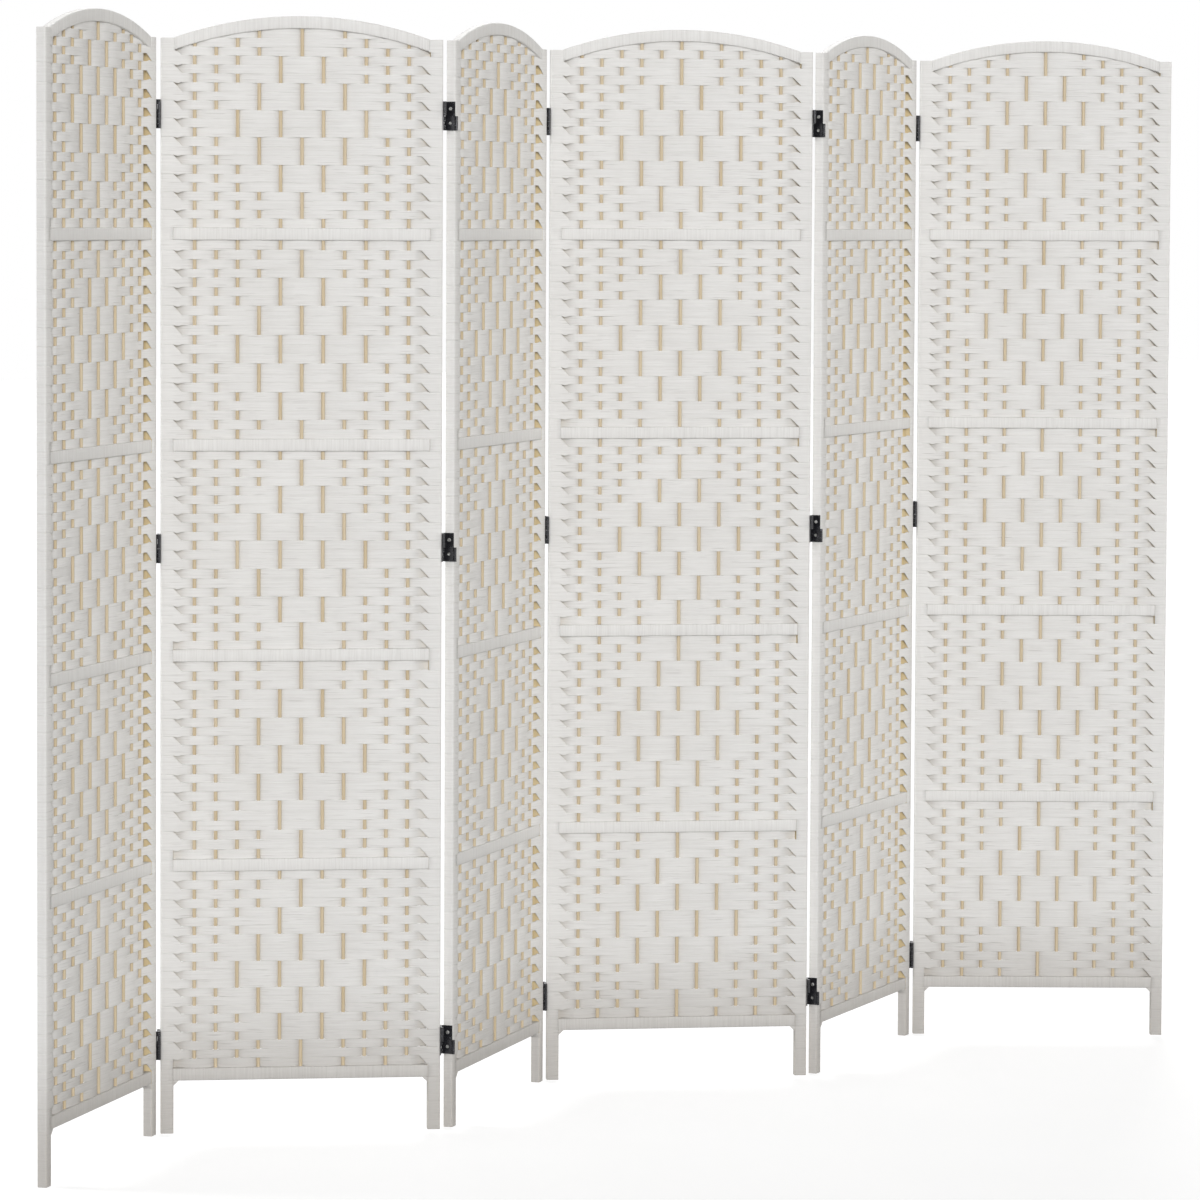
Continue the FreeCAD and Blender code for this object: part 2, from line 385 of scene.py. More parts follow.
@dataclass(frozen=True)
class BlackSteelFinish(Finish):
    """Steel painted black, a little uneven, rubbed on its high spots."""

    paint: Colour = shade(30, 30, 34)
    rubbed: Colour = shade(120, 120, 126)
    peel: Marks = Marks(700.0, 700.0)
    wear: Marks = Marks(175.0, 175.0, 3.0, 0.6, 0.6, 0.75)
    wear_tone: float = 0.6
    smoothest: float = 0.16
    rough_spread: float = 0.24
    least_metal: float = 0.25
    metal_spread: float = 0.6
    paint_depth: float = 0.05 * MM

    def dress(self, bench: Bench) -> None:
        """Adds the nodes of the paint.

        Args:
            bench: Its node tree.
        """
        peel = self.peel.laid(bench)
        wear = self.wear.tone(self.wear.laid(bench))
        bench.coat({
            "Base Color": bench.tint(wear * self.wear_tone, self.paint, self.rubbed),
            "Roughness": self.smoothest + peel * self.rough_spread,
            "Metallic": self.least_metal + wear * self.metal_spread,
            "Normal": bench.bump(peel, self.paint_depth),
        })


@dataclass(frozen=True)
class ScrewFinish(Finish):
    """Bright zinc on the screws."""

    bright: Colour = shade(205, 205, 203)
    dull: Colour = shade(150, 149, 146)
    speck: Marks = Marks(1500.0, 1500.0, 3.0, start=0.35)
    smoothest: float = 0.22
    rough_spread: float = 0.25

    def dress(self, bench: Bench) -> None:
        """Adds the nodes of the zinc.

        Args:
            bench: Its node tree.
        """
        speck = self.speck.laid(bench)
        bench.coat({
            "Base Color": bench.tint(self.speck.tone(speck), self.bright, self.dull),
            "Roughness": self.smoothest + speck * self.rough_spread,
            "Metallic": 1.0,
        })


@dataclass(frozen=True)
class FloorFinish(Finish):
    """A pale studio floor that shows white to the camera and keeps the screen's shadow."""

    pale: Colour = shade(160, 160, 160)
    patchy: Colour = shade(157, 157, 157)
    patch: Marks = Marks(2.0, 2.0, 3.0, start=0.2, end=0.8)
    lift: float = 0.78

    def dress(self, bench: Bench) -> None:
        """Adds the nodes of the floor.

        Args:
            bench: Its node tree.
        """
        patch = self.patch.tone(self.patch.laid(bench))
        colour = bench.tint(patch, self.pale, self.patchy)
        matt = bench.make("ShaderNodeBsdfDiffuse", {"Color": colour}).outputs[0]
        glow = bench.make("ShaderNodeEmission", {"Color": WHITE, "Strength": self.lift}).outputs[0]
        lifted = bench.make("ShaderNodeAddShader", {0: matt, 1: glow}).outputs[0]
        inputs = {0: bench.seen_directly(), 1: matt, 2: lifted}
        bench.surface(bench.make("ShaderNodeMixShader", inputs).outputs[0])


@dataclass(frozen=True)
class Finishes:
    """The materials that the panels share."""

    woven: Material
    wound: Material
    rod: Material
    stile: Material
    hinge: Material
    screw: Material

    @classmethod
    def make(cls) -> "Finishes":
        """Makes every material once.

        Returns:
            The set of materials.
        """
        return cls(
            woven=PaperFinish("woven_paper_strand", Lay.LEVEL).build(),
            # Wound strand gets fainter painted shadow hairlines, running round the bar.
            wound=PaperFinish("wound_paper_strand", Lay.ROUND_A_BAR, hairline_shadow_share=0.2).build(),
            rod=WoodFinish("rod_wood", shade(208, 193, 166), shade(192, 173, 140)).build(),
            stile=WoodFinish("stile_wood", shade(223, 206, 167), shade(206, 183, 138)).build(),
            hinge=BlackSteelFinish("black_painted_steel").build(),
            screw=ScrewFinish("screw_zinc").build(),
        )


@dataclass(frozen=True)
class PanelSizes:
    """Sizes of one panel's frame and weave."""

    width: float
    stile_top: float
    crown: float
    stile_width: float = 20.0 * MM
    stile_depth: float = 16.0 * MM
    wrap: float = 1.0 * MM
    foot_reveal: float = 1.0 * MM
    leg_height: float = 85.0 * MM
    rail_height: float = 20.0 * MM
    rail_depth: float = 14.0 * MM
    arch_height: float = 20.0 * MM
    rods: int = 11
    sections: int = 5

    @property
    def inner_right(self) -> float:
        """Where the right stile begins."""
        return self.width - self.stile_width

    @property
    def springing(self) -> float:
        """Height of the arch's underside at the stiles."""
        return self.stile_top - self.arch_height

    @property
    def span(self) -> float:
        """The clear width between the stiles."""
        return self.inner_right - self.stile_width

    @property
    def arch_radius(self) -> float:
        """Radius of the arch's curve."""
        rise = self.crown - self.stile_top
        return ((self.span / 2) ** 2 + rise**2) / (2 * rise)

    def rod_place(self, rod: int) -> float:
        """Where a rod stands, counted from 1 at the left."""
        return self.stile_width + self.span * rod / (self.rods + 1)

    def rail_bottom(self, rail: int) -> float:
        """Height of a rail's underside, counted from 0 at the bottom."""
        return self.leg_height + (self.crown - self.arch_height - self.leg_height) * rail / self.sections

    def arch_underside(self, x: float) -> float:
        """Height of the arch's underside at a place across the panel, the same all over a stile."""
        radius, off_middle = self.arch_radius, min(abs(x - self.width / 2), self.span / 2)
        return self.crown - self.arch_height - radius + math.sqrt(radius**2 - off_middle**2)


@dataclass(frozen=True)
class PanelSeat:
    """Where one panel stands in the zigzag."""

    number: int
    place: Matrix
    sizes: PanelSizes

    @property
    def body(self) -> str:
        """The body that the panel's pieces ride on."""
        return f"panel_{self.number}"

    def node(self, kind: str) -> str:
        """The name of one of the panel's CAD nodes."""
        return f"{self.body}_{kind}"

    def seed(self, first: FirstSeed, index: int) -> int:
        """The seed of one of the panel's pieces, counted from 0 in its kind."""
        return first + SEEDS_PER_PANEL * self.number + index

    @classmethod
    def read(cls, number: int) -> "PanelSeat":
        """Finds a panel's seat from the feet of its two stiles.

        Args:
            number: The panel, counted from 1 at the near end.

        Returns:
            The seat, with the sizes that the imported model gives.
        """
        feet = [foot_middle(f"panel_{number}_{edge.value}_stile") for edge in Edge]
        margin = PanelSizes.stile_width + PanelSizes.wrap
        along = (feet[1] - feet[0]).normalized()
        start = feet[0] - along * margin / 2
        turn = Matrix.Rotation(math.atan2(along.y, along.x), 4, "Z")
        sizes = PanelSizes(
            width=(feet[1] - feet[0]).length + margin,
            stile_top=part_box(f"panel_{number}_left_stile")[1].z,
            crown=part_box(f"panel_{number}_top_arch")[1].z,
        )
        return cls(number, Matrix.Translation(start) @ turn, sizes)


def foot_middle(node: str) -> Vector:
    """The middle of a stile's foot.

    Args:
        node: The stile's CAD node.

    Returns:
        The point on the floor.
    """
    corners = {
        (round(corner.co.x, POINT_DIGITS), round(corner.co.y, POINT_DIGITS))
        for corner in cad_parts[node].data.vertices
        if corner.co.z < PanelSizes.foot_reveal / 2
    }
    middle = np.array(sorted(corners)).mean(0)
    return Vector((middle[0], middle[1], 0.0))


@dataclass(frozen=True)
class DiamondPattern:
    """Which rods show in front of the weave, row by row from a section's top."""

    lead: int
    tail: int
    rods: int = PanelSizes.rods
    group: int = 3
    widest: int = 3

    @property
    def rows(self) -> int:
        """Rows of the whole section, where the rails cut the diamond short if an end is negative."""
        return self.lead + self.group * (2 * self.widest + 1) + self.tail

    def beat(self, row: int) -> int:
        """A row's place in the pattern: the diamond starts at 1."""
        return row - self.lead

    def behind_stiles(self, row: int) -> bool:
        """Whether a row passes behind the stiles."""
        return self.beat(row) % 2 == 1

    def behind_rod(self, rod: int, row: int) -> bool:
        """Whether a row passes behind a rod, which then shows in front.

        Args:
            rod: The rod, counted from 1 at the left.
            row: The row, counted from 1 at the section's top.

        Returns:
            True where the rod shows.
        """
        step = (self.beat(row) - 1) // self.group
        off_middle = rod - (self.rods + 1) // 2
        if 0 <= step <= 2 * self.widest:
            reach = self.widest - abs(step - self.widest)
            if abs(off_middle) <= reach + 1:
                return (off_middle - reach) % 2 == 0
        return (rod + self.beat(row)) % 2 == 1


@dataclass(frozen=True)
class Bundle:
    """Strands that lie side by side as one flat band."""

    strands: int
    pressed_half: float = 0.45 * MM
    groove: float = 0.22 * MM
    groove_limit: float = 0.3
    edge: float = 0.25 * MM
    edge_limit: float = 0.85
    lip: float = 0.1
    crest_spread: float = 0.12 * MM
    wander_share: float = 0.12
    wander_spread: float = 0.5
    wander_step: int = 11


class Station(NamedTuple):
    """A place along a band: its line in plan, its lower and upper edge, and half its thickness."""

    x: float
    y: float
    low: float
    high: float
    half: float = Bundle.pressed_half


@dataclass
class StrandMesh:
    """Gathers bands and wound bars into one mesh, with small irregularities drawn from its seed."""

    name: str
    seed: int
    count: int = 0
    points: list[np.ndarray] = field(default_factory=list)
    faces: list[np.ndarray] = field(default_factory=list)
    caps: list[np.ndarray] = field(default_factory=list)

    def __post_init__(self) -> None:
        """Starts the random numbers."""
        self.random = np.random.default_rng(self.seed)

    def rings(self, rings: np.ndarray, closed: bool) -> None:
        """Skins a row of rings.

        Args:
            rings: Points as stations by ring points by three, each ring up the front and down the back.
            closed: Whether the last ring joins the first.
        """
        stations, around, _ = rings.shape
        index = self.count + np.arange(stations * around).reshape(stations, around)
        nexts = np.roll(index, -1, 0) if closed else index[1:]
        heres = index if closed else index[:-1]
        quads = np.stack([heres, nexts, np.roll(nexts, -1, 1), np.roll(heres, -1, 1)], -1)
        self.points.append(rings.reshape(-1, 3))
        self.faces.append(quads.reshape(-1, 4))
        if not closed:
            self.caps += [index[0], index[-1][::-1]]
        self.count += stations * around

    def band(self, run: list[Station], bundle: Bundle, closed: bool = False) -> None:
        """Lays a band of strands along its stations.

        Args:
            run: The stations.
            bundle: The strands of the band.
            closed: Whether its end joins its start.
        """
        table = np.array(run)
        stations = np.arange(len(table))
        step = bundle.wander_step
        knots = stations[:1] if closed else np.arange(0, len(table) + step, step)
        plan, low, high, half = table[:, :2], table[:, 2], table[:, 3], table[:, 4:5]
        if closed:
            along = np.roll(plan, -1, 0) - np.roll(plan, 1, 0)
        else:
            along = np.gradient(plan, axis=0)
        along /= np.linalg.norm(along, axis=1, keepdims=True)
        outward = np.stack([along[:, 1], -along[:, 0]], 1)
        groove = np.minimum(bundle.groove, bundle.groove_limit * half)
        edge = np.minimum(bundle.edge, bundle.edge_limit * half)
        marks = 2 * bundle.strands + 1
        crest = np.arange(marks) % 2 == 1
        lips = [1, marks - 1]
        lip = bundle.lip / bundle.strands
        sides = []
        for face in (1, -1):
            shares = np.tile(np.linspace(0.0, 1.0, marks), (len(table), 1))
            for mark in range(2, marks - 1, 2):
                walk = self.random.normal(0.0, bundle.wander_spread, len(knots))
                drift = np.interp(stations, knots, walk)
                shares[:, mark] += bundle.wander_share / bundle.strands * drift
            tops = np.minimum(bundle.crest_spread * self.random.random(marks), groove)
            lift = half - np.where(crest, tops, groove)
            lift[:, [0, -1]] = half - edge
            lift = np.insert(lift, lips, half - groove / 2, axis=1)
            shares = np.insert(shares, lips, (lip, 1.0 - lip), axis=1)
            flat = plan[:, None, :] + face * outward[:, None, :] * lift[:, :, None]
            height = low[:, None] + (high - low)[:, None] * shares
            side = np.concatenate([flat, height[:, :, None]], 2)
            sides.append(side if face == 1 else side[:, ::-1])
        self.rings(np.concatenate(sides, 1), closed)

    def piece(self, seat: PanelSeat, material: Material, slot: str, replaced: str) -> None:
        """Makes the mesh an object that rides on its panel.

        Args:
            seat: The panel's seat.
            material: The finish.
            slot: Not used.
            replaced: The kind of CAD node that the piece stands for.
        """
        points = np.concatenate(self.points).astype(np.float32)
        loops = np.concatenate([np.concatenate(self.faces).ravel(), *self.caps]).astype(np.int32)
        quads = sum(len(block) for block in self.faces)
        totals = np.array([4] * quads + [len(cap) for cap in self.caps], np.int32)
        mesh = bpy.data.meshes.new(self.name)
        mesh.vertices.add(len(points))
        mesh.vertices.foreach_set("co", points.ravel())
        mesh.loops.add(len(loops))
        mesh.loops.foreach_set("vertex_index", loops)
        mesh.polygons.add(len(totals))
        starts = np.concatenate([[0], np.cumsum(totals)[:-1]]).astype(np.int32)
        mesh.polygons.foreach_set("loop_start", starts)
        mesh.polygons.foreach_set("use_smooth", np.arange(len(totals)) < quads)
        mesh.update(calc_edges=True)
        mesh.materials.append(material)
        piece = show(self.name, mesh)
        piece.matrix_world = seat.place
        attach(piece, seat.body)
        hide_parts(seat.node(replaced))
        LOG.info("%s rides on %s, %d faces", self.name, seat.body, len(totals))


@dataclass(frozen=True)
class StileTurn:
    """The way of a band round a stile, at the middle of its thickness."""

    sizes: PanelSizes
    corner: float = 2.4 * MM
    bevel_share: float = 0.3

    @property
    def face(self) -> float:
        """How far in front of or behind the panel's middle the band lies on a stile."""
        return self.sizes.stile_depth / 2 - self.sizes.wrap / 2

    def path(self, edge: Edge) -> list[tuple[float, float]]:
        """The points of a turn in plan, from the face where it starts to the other.

        Args:
            edge: The panel's edge: bands go to the back at the right one and to the front at the left.

        Returns:
            The points from the stile's inner edge round to its inner edge.
        """
        skin = self.sizes.wrap / 2
        bevel = self.corner * self.bevel_share
        half = [
            (self.sizes.stile_width, self.face),
            (self.sizes.stile_width / 2, self.face),
            (skin + self.corner, self.face),
            (skin + bevel, self.face - bevel),
            (skin, self.face - self.corner),
        ]
        points = [(depth, -y) for depth, y in half] + [(depth, y) for depth, y in reversed(half)]
        if edge is Edge.RIGHT:
            return [(self.sizes.width - depth, y) for depth, y in points]
        return [(depth, -y) for depth, y in points]


@dataclass
class WovenSection:
    """The weave between two rails: one band that goes to and fro and turns round the stiles."""

    seat: PanelSeat
    finishes: Finishes
    index: int
    pattern: DiamondPattern
    bundle: Bundle = Bundle(strands=4)
    fan: float = 13.5 * MM
    reaches: tuple[float, ...] = (0.0, 3.4 * MM, 7.5 * MM)
    over_rod: tuple[float, ...] = (3.75 * MM, 3.7 * MM, 3.55 * MM)
    past_rod: tuple[float, ...] = (-3.5 * MM, -1.7 * MM, 0.9 * MM)
    past_pair: tuple[float, ...] = (-3.5 * MM, -2.4 * MM, -1.2 * MM)
    bulge: float = 0.2 * MM
    bulge_shares: tuple[float, ...] = (1.0, 0.75, 0.25)
    stile_reaches: tuple[float, ...] = (0.0, 4.5 * MM, 9.0 * MM)
    over_stile: tuple[float, ...] = (7.95 * MM, 7.1 * MM, 6.3 * MM)
    past_stile: tuple[float, ...] = (-7.05 * MM, -5.9 * MM, -4.4 * MM)
    row_spread: float = 0.04
    edge_wave: float = 0.3 * MM
    wave_knots: int = 9
    tuck: float = 1.0 * MM
    lap: float = 2.0 * MM

    def __post_init__(self) -> None:
        """Works out the heights of the section and of its rows."""
        sizes = self.seat.sizes
        rows = self.pattern.rows
        self.turn = StileTurn(sizes)
        name = f"{self.seat.body}_woven_section_{self.index + 1}"
        self.mesh = StrandMesh(name, self.seat.seed(FirstSeed.SECTION, self.index))
        self.low = sizes.rail_bottom(self.index) + sizes.rail_height
        self.high = sizes.rail_bottom(self.index + 1)
        heights = 1.0 + self.row_spread * self.mesh.random.standard_normal(rows)
        drops = np.concatenate([[0.0], np.cumsum(heights)]) / heights.sum()
        self.levels = self.high - (self.high - self.low) * drops
        self.waves = self.edge_wave * self.mesh.random.standard_normal((rows + 1, self.wave_knots))
        self.waves[[0, -1]] = 0.0
        numbers = range(1, rows + 1)
        self.faces = {row: (self.face(row, True), self.face(row, False)) for row in numbers}
        self.bulges = {row: self.bulge_line(row) for row in numbers}

    def limit(self, row: int, x: float) -> float:
        """Height of the line below a row.

        Args:
            row: The row, counted from 1 at the top; 0 gives the section's upper limit.
            x: The place across the panel.

        Returns:
            The height there, kept under the arch.
        """
        knots = np.linspace(0.0, self.seat.sizes.width, self.wave_knots)
        level = self.levels[row] + float(np.interp(x, knots, self.waves[row]))
        if 0 < row < self.pattern.rows:
            level += float(np.interp(x, *self.bulges[row]))
        if self.index == self.seat.sizes.sections - 1:
            level = min(level, self.seat.sizes.arch_underside(x) + self.tuck)
        return level

    def steps(self, rod: int) -> list[tuple[int, float]]:
        """The steps across a rod from its left, each counted from its middle, and their places."""
        middle, last = self.seat.sizes.rod_place(rod), len(self.reaches)
        return [(n, middle + math.copysign(self.reaches[abs(n)], n)) for n in range(1 - last, last)]

    def bulge_line(self, row: int) -> tuple[list[float], list[float]]:
        """How the line below a row bends at the rods, where a row in front spreads over one behind.

        Args:
            row: The row above the line.

        Returns:
            Places across the panel and how far the line is lifted at each.
        """
        sizes = self.seat.sizes
        places, lifts = [sizes.stile_width], [0.0]
        for rod in range(1, sizes.rods + 1):
            change = self.pattern.behind_rod(rod, row) - self.pattern.behind_rod(rod, row + 1)
            for step, place in self.steps(rod):
                places.append(place)
                lifts.append(self.bulge * change * self.bulge_shares[abs(step)])
        return places + [sizes.inner_right], lifts + [0.0]

    def span(self, row: int, x: float) -> tuple[float, float]:
        """Lower and upper edge of a row at a place across the panel."""
        high = self.limit(row - 1, x)
        return min(self.limit(row, x), high), high

    def face(self, row: int, front: bool) -> tuple[list[float], list[float]]:
        """One face of a row, from the left stile to the right one.

        Args:
            row: The row.
            front: Whether it is the front face or the back one.

        Returns:
            Places across the panel, and how far the face stands out from the panel's middle at each.
        """
        sizes = self.seat.sizes
        rods = range(1, sizes.rods + 1)
        covers = [self.pattern.behind_rod(rod, row) != front for rod in rods]
        stile = self.over_stile if self.pattern.behind_stiles(row) != front else self.past_stile
        places = [sizes.stile_width + reach for reach in self.stile_reaches]
        heights = list(stile)
        for index, rod in enumerate(rods):
            for step, place in self.steps(rod):
                beside = min(max(index + (step > 0) - (step < 0), 0), len(covers) - 1)
                if covers[index]:
                    table = self.over_rod
                elif covers[beside] or beside == index:
                    table = self.past_rod
                else:
                    table = self.past_pair
                places.append(place)
                heights.append(table[abs(step)])
        places += [sizes.inner_right - reach for reach in reversed(self.stile_reaches)]
        return places, heights + list(reversed(stile))

    def station(self, row: int, x: float) -> tuple[float, float]:
        """The depth of a row's middle at a place, positive to the back, and half its thickness there."""
        front, back = (float(np.interp(x, *face)) for face in self.faces[row])
        return (back - front) / 2, max((back + front) / 2, self.bundle.pressed_half / 2)

    def cross(self, run: list[Station], row: int, start: float, end: float) -> None:
        """Takes the band across the panel along a row.

        Args:
            run: The stations to add to.
            row: The row.
            start: Where it starts, across the panel.
            end: Where it ends.
        """
        low, high = sorted((start, end))
        inside = {place for place in self.faces[row][0][0] if low < place < high}
        for x in sorted({start, end} | inside, reverse=start > end):
            y, half = self.station(row, x)
            run.append(Station(x, y, *self.span(row, x), half))

    def round_stile(self, run: list[Station], edge: Edge, leaving: int, entering: int) -> None:
        """Takes the band round a stile, fanned out over the rows that it joins.

        Args:
            run: The stations to add to.
            edge: The panel's edge.
            leaving: The row that it comes from, or 0 where the band starts here.
            entering: The row below that it goes to, or 0 where the band ends here.
        """
        points = self.turn.path(edge)
        inner = points[0][0]
        upper = leaving or entering
        lower = entering or leaving
        halfway = inner + math.copysign(self.fan / 2, self.seat.sizes.width / 2 - inner)
        if leaving:
            y, half = self.station(leaving, halfway)
            drop = (self.limit(leaving, halfway) + self.limit(lower, halfway)) / 2
            top = min(self.limit(leaving - 1, halfway) + self.lap, self.limit(0, halfway))
            run.append(Station(halfway, y, drop, top, half))
        low, high = self.limit(lower, inner), self.limit(upper - 1, inner)
        run += [Station(x, y, low, high) for x, y in points]
        if entering:
            y, half = self.station(entering, halfway)
            rise = (self.limit(entering - 1, halfway) + self.limit(upper - 1, halfway)) / 2
            bottom = max(self.limit(entering, halfway) - self.lap, self.low)
            run.append(Station(halfway, y, bottom, rise, half))

    def short_row(self, row: int) -> None:
        """Lays a row that ends in the arch at both sides.

        Args:
            row: The row, whose lower limit lies above the springing of the arch.
        """
        sizes = self.seat.sizes
        fall = sizes.crown - sizes.arch_height - self.levels[row]
        reach = math.sqrt(sizes.arch_radius**2 - (sizes.arch_radius - fall) ** 2)
        run: list[Station] = []
        self.cross(run, row, sizes.width / 2 - reach, sizes.width / 2 + reach)
        self.mesh.band(run, self.bundle)

    def build(self) -> None:
        """Weaves the section."""
        sizes = self.seat.sizes
        sides = ((Edge.LEFT, sizes.stile_width + self.fan), (Edge.RIGHT, sizes.inner_right - self.fan))
        first = 1
        while self.limit(first, 0.0) > sizes.springing - self.tuck:
            self.short_row(first)
            first += 1
        run: list[Station] = []
        for row in range(first, self.pattern.rows + 1):
            (here, start), (there, end) = sides[::-1] if self.pattern.behind_stiles(row) else sides
            if row == first:
                self.round_stile(run, here, 0, row)
            self.cross(run, row, start, end)
            self.round_stile(run, there, row, row + 1 if row < self.pattern.rows else 0)
        self.mesh.band(run, self.bundle)
        self.mesh.piece(self.seat, self.finishes.woven, "woven_paper", "weave")


@dataclass
class StileWinding:
    """Strand wound round a stile beside the rails and the arch, and round its leg."""

    seat: PanelSeat
    finishes: Finishes
    edge: Edge
    strand_width: float = 2.85 * MM
    leg_corner: float = 2.6 * MM
    foot_gap: float = 0.2 * MM
    lead_in: float = 3.0 * MM
    lead_sink: float = 0.65 * MM
    fillet: float = 8.0 * MM
    fillet_strands: int = 4
    fillet_groove: float = 0.3 * MM

    def __post_init__(self) -> None:
        """Starts the winding's mesh."""
        seed = self.seat.seed(FirstSeed.STILE, list(Edge).index(self.edge))
        self.mesh = StrandMesh(f"{self.seat.body}_{self.edge.value}_stile_winding", seed)

    def collar(self, low: float, high: float, lead_in: float = 0.0) -> None:
        """Winds strand round the three free sides of a stile.

        Args:
            low: The lower limit.
            high: The upper limit.
            lead_in: How far its ends run in on the bar beside the stile.
        """
        path = StileTurn(self.seat.sizes).path(self.edge)
        if lead_in:
            inward = math.copysign(lead_in, self.seat.sizes.width / 2 - path[0][0])
            ends = [(x + inward, y - math.copysign(self.lead_sink, y)) for x, y in (path[0], path[-1])]
            path = [ends[0], *path, ends[1]]
        run = [Station(x, y, low, high) for x, y in path]
        self.mesh.band(run, Bundle(strands=round((high - low) / self.strand_width)))

    def corner_fillet(self) -> None:
        """Fills the corner between the leg and the bottom rail with slanting strands."""
        sizes = self.seat.sizes
        side = sizes.stile_width + sizes.wrap
        marks = 2 * self.fillet_strands + 1
        outline = []
        for mark, share in enumerate(np.linspace(0.0, 1.0, marks)):
            sink = self.fillet_groove * (mark % 2 == 0)
            x = side + self.fillet * (1.0 - share) - sink
            outline.append((x, sizes.leg_height - self.fillet * share + sink))
        outline.append((side - sizes.wrap / 2, sizes.leg_height + sizes.wrap / 2))
        if self.edge is Edge.LEFT:
            outline.reverse()
        else:
            outline = [(sizes.width - x, z) for x, z in outline]
        depth = sizes.rail_depth / 2
        rings = [[(x, y, z) for x, z in outline] for y in (-depth, depth)]
        self.mesh.rings(np.array(rings), closed=False)

    def leg(self) -> None:
        """Winds strand round all four sides of a leg."""
        sizes = self.seat.sizes
        skin = sizes.wrap / 2
        outer, inner = skin, sizes.stile_width + skin
        if self.edge is Edge.RIGHT:
            outer, inner = sizes.width - inner, sizes.width - outer
        face = sizes.stile_depth / 2 - skin
        run: list[Station] = []
        corners = ((inner, -face, -90), (inner, face, 0), (outer, face, 90), (outer, -face, 180))
        for x, y, start in corners:
            middle_x = x + math.copysign(self.leg_corner, (outer + inner) / 2 - x)
            middle_y = y - math.copysign(self.leg_corner, y)
            for degrees in (start, start + 45, start + 90):
                angle = math.radians(degrees)
                corner_x = middle_x + self.leg_corner * math.cos(angle)
                corner_y = middle_y + self.leg_corner * math.sin(angle)
                run.append(Station(corner_x, corner_y, self.foot_gap, sizes.leg_height))
        count = round((sizes.leg_height - self.foot_gap) / self.strand_width)
        self.mesh.band(run, Bundle(strands=count), closed=True)

    def build(self) -> None:
        """Winds the stile."""
        sizes = self.seat.sizes
        for rail in range(sizes.sections):
            bottom = sizes.rail_bottom(rail)
            self.collar(bottom, bottom + sizes.rail_height)
        self.collar(sizes.springing, sizes.stile_top, self.lead_in)
        self.leg()
        self.corner_fillet()
        self.mesh.piece(self.seat, self.finishes.woven, "woven_paper", "weave")


@dataclass
class BarWinding:
    """Strand wound round a rail or the arch, turn by turn."""

    seat: PanelSeat
    finishes: Finishes
    turn_width: float = 2.9 * MM
    width_spread: float = 0.12
    crest: float = 0.2 * MM
    groove: float = 0.08 * MM
    least_lift: float = 0.75
    lift_spread: float = 0.5
    corner: float = 2.0 * MM
    corner_points: int = 3

    def outline(self, half_depth: float, half_height: float) -> np.ndarray:
        """A rounded rectangle, up the front and down the back.

        Args:
            half_depth: Half its size from front to back.
            half_height: Half its height.

        Returns:
            Its points, as depth and height from its middle.
        """
        points = []
        quarters = ((-1, 1, 180), (1, 1, 90), (1, -1, 0), (-1, -1, -90))
        for side, end, start in quarters:
            for step in range(self.corner_points):
                angle = math.radians(start - 90 * step / (self.corner_points - 1))
                depth = side * (half_depth - self.corner) + self.corner * math.cos(angle)
                height = end * (half_height - self.corner) + self.corner * math.sin(angle)
                points.append((depth, height))
        return np.array(points)

    def turns(self, mesh: StrandMesh) -> tuple[np.ndarray, np.ndarray]:
        """Where the crests and grooves of the turns lie along a bar.

        Args:
            mesh: The mesh whose random numbers are used.

        Returns:
            The places across the panel and the lift of the strand at each.
        """
        sizes = self.seat.sizes
        count = round(sizes.span / self.turn_width)
        widths = 1.0 + self.width_spread * mesh.random.standard_normal(count)
        edges = np.concatenate([[0.0], np.cumsum(widths)]) / widths.sum()
        shares = np.sort(np.concatenate([edges, (edges[:-1] + edges[1:]) / 2]))
        lifts = np.where(np.arange(len(shares)) % 2 == 1, self.crest, -self.groove)
        lifts = lifts * (self.least_lift + self.lift_spread * mesh.random.random(len(shares)))
        return sizes.stile_width + sizes.span * shares, lifts

    def wind(
        self, mesh: StrandMesh, height: float, underside: Callable[[float], float], radius: float = math.inf
    ) -> None:
        """Winds a bar, with its turns square to its curve.

        Args:
            mesh: The mesh to add to.
            height: The bar's height.
            underside: Gives the height of its underside at a place across the panel.
            radius: The radius of its curve.
        """
        sizes = self.seat.sizes
        rings = []
        for x, lift in zip(*self.turns(mesh)):
            slope = (x - sizes.width / 2) / radius
            ring = self.outline(sizes.rail_depth / 2 + lift, height / 2 + min(lift, 0.0))
            lean = np.clip(x + ring[:, 1] * slope, sizes.stile_width, sizes.inner_right)
            levels = underside(x) + height / 2 + ring[:, 1] - (lean - x) * slope
            rings.append(np.column_stack([lean, ring[:, 0], levels]))
        mesh.rings(np.array(rings), closed=False)

    def build(self) -> None:
        """Winds the rails and the arch."""
        sizes = self.seat.sizes
        for rail in range(sizes.sections):
            name = f"{self.seat.body}_rail_winding_{rail + 1}"
            mesh = StrandMesh(name, self.seat.seed(FirstSeed.RAIL, rail))
            bottom = sizes.rail_bottom(rail)
            self.wind(mesh, sizes.rail_height, lambda x: bottom)
            mesh.piece(self.seat, self.finishes.wound, "wrapped_wood", "rails")
        mesh = StrandMesh(f"{self.seat.body}_arch_winding", FirstSeed.ARCH + self.seat.number)
        self.wind(mesh, sizes.arch_height, sizes.arch_underside, sizes.arch_radius)
        mesh.piece(self.seat, self.finishes.wound, "wrapped_wood", "top_arch")


